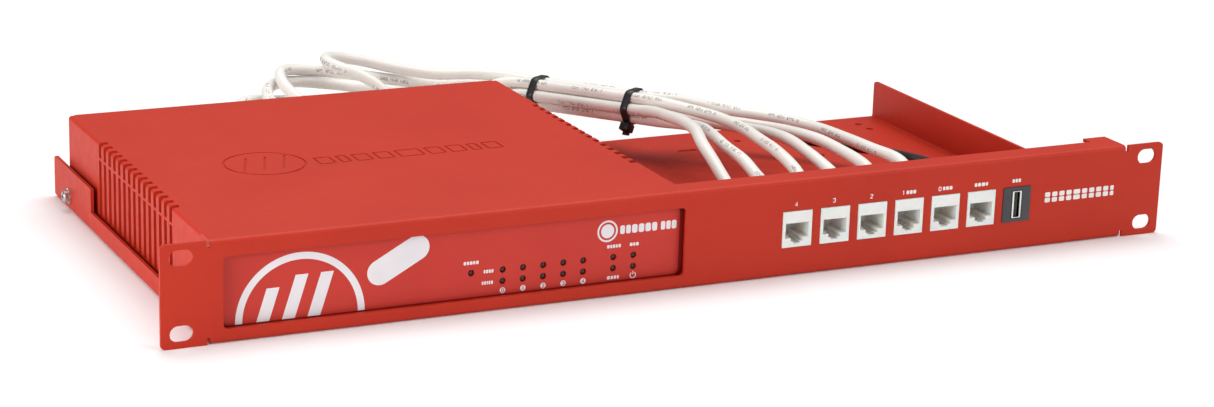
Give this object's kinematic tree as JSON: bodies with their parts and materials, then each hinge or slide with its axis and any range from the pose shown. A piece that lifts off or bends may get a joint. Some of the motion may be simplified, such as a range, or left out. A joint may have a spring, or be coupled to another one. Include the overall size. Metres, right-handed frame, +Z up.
{
  "type": "rack-mounted firewall appliance",
  "caption": "Desktop network security appliance held in a folded one-unit rack tray, with its rear sockets brought to panel couplers by bundled patch cords",
  "frame": {"origin": "centre of the four rack slots on the rear face of the ears, where they meet the rack's posts", "axes": "+X to the right seen from the front, +Y to the back into the rack, +Z up"},
  "size_m": [0.4826, 0.2928, 0.0452],
  "materials": {
    "red_powder_coat": "satin",
    "printed_film": "satin",
    "white_coupler": "satin",
    "dark_coupler": "satin",
    "plated_shell": "satin",
    "white_plug": "gloss",
    "white_jacket": "satin",
    "black_jacket": "matte",
    "black_plastic": "satin",
    "black_rubber": "matte",
    "zinc_screw": "satin",
    "smoked_pipe": "gloss",
    "circuit_board": "satin",
    "black_anodised": "satin"
  },
  "bodies": {
    "chassis": {"rack_tray": "red_powder_coat", "fixing_screw": "zinc_screw", "coupler_1": "white_coupler", "coupler_2": "white_coupler", "coupler_3": "white_coupler", "coupler_4": "white_coupler", "coupler_5": "white_coupler", "coupler_6": "white_coupler", "usb_coupler": "dark_coupler", "usb_coupler_shell": "plated_shell", "front_plug_1": "white_plug", "front_plug_2": "white_plug", "front_plug_3": "white_plug", "front_plug_4": "white_plug", "front_plug_5": "white_plug", "front_plug_6": "white_plug", "rear_plug_1": "white_plug", "rear_plug_2": "white_plug", "rear_plug_3": "white_plug", "rear_plug_4": "white_plug", "rear_plug_5": "white_plug", "rear_plug_6": "white_plug", "patch_cord_1": "white_jacket", "patch_cord_2": "white_jacket", "patch_cord_3": "white_jacket", "patch_cord_4": "white_jacket", "patch_cord_5": "white_jacket", "patch_cord_6": "white_jacket", "usb_cord": "black_jacket", "usb_plug_front": "black_plastic", "usb_plug_rear": "black_plastic", "cable_tie_1": "black_plastic", "cable_tie_2": "black_plastic", "top_cover": "red_powder_coat", "chassis_base": "red_powder_coat", "front_bezel": "red_powder_coat", "bezel_film": "printed_film", "light_pipes": "smoked_pipe", "vent_baffle_left": "red_powder_coat", "vent_baffle_right": "red_powder_coat", "main_board": "circuit_board", "processor": "black_plastic", "heat_sink": "black_anodised", "lan_sockets": "plated_shell", "console_socket": "plated_shell", "usb_socket": "plated_shell", "dc_socket": "black_plastic", "reset_switch": "black_plastic", "ground_screw": "zinc_screw", "cover_screw_1": "zinc_screw", "cover_screw_2": "zinc_screw", "board_screw_1": "zinc_screw", "board_screw_2": "zinc_screw", "board_screw_3": "zinc_screw", "board_screw_4": "zinc_screw", "foot_1": "black_rubber", "foot_2": "black_rubber", "foot_3": "black_rubber", "foot_4": "black_rubber"},
    "reset": {"reset_button": "black_plastic"}
  },
  "joints": [
    {"name": "reset_press", "type": "slide", "parent": "chassis", "child": "reset", "axis": [0, -1, 0], "range_m": [0, 0.0006], "stiffness_N_per_m": 400}
  ]
}
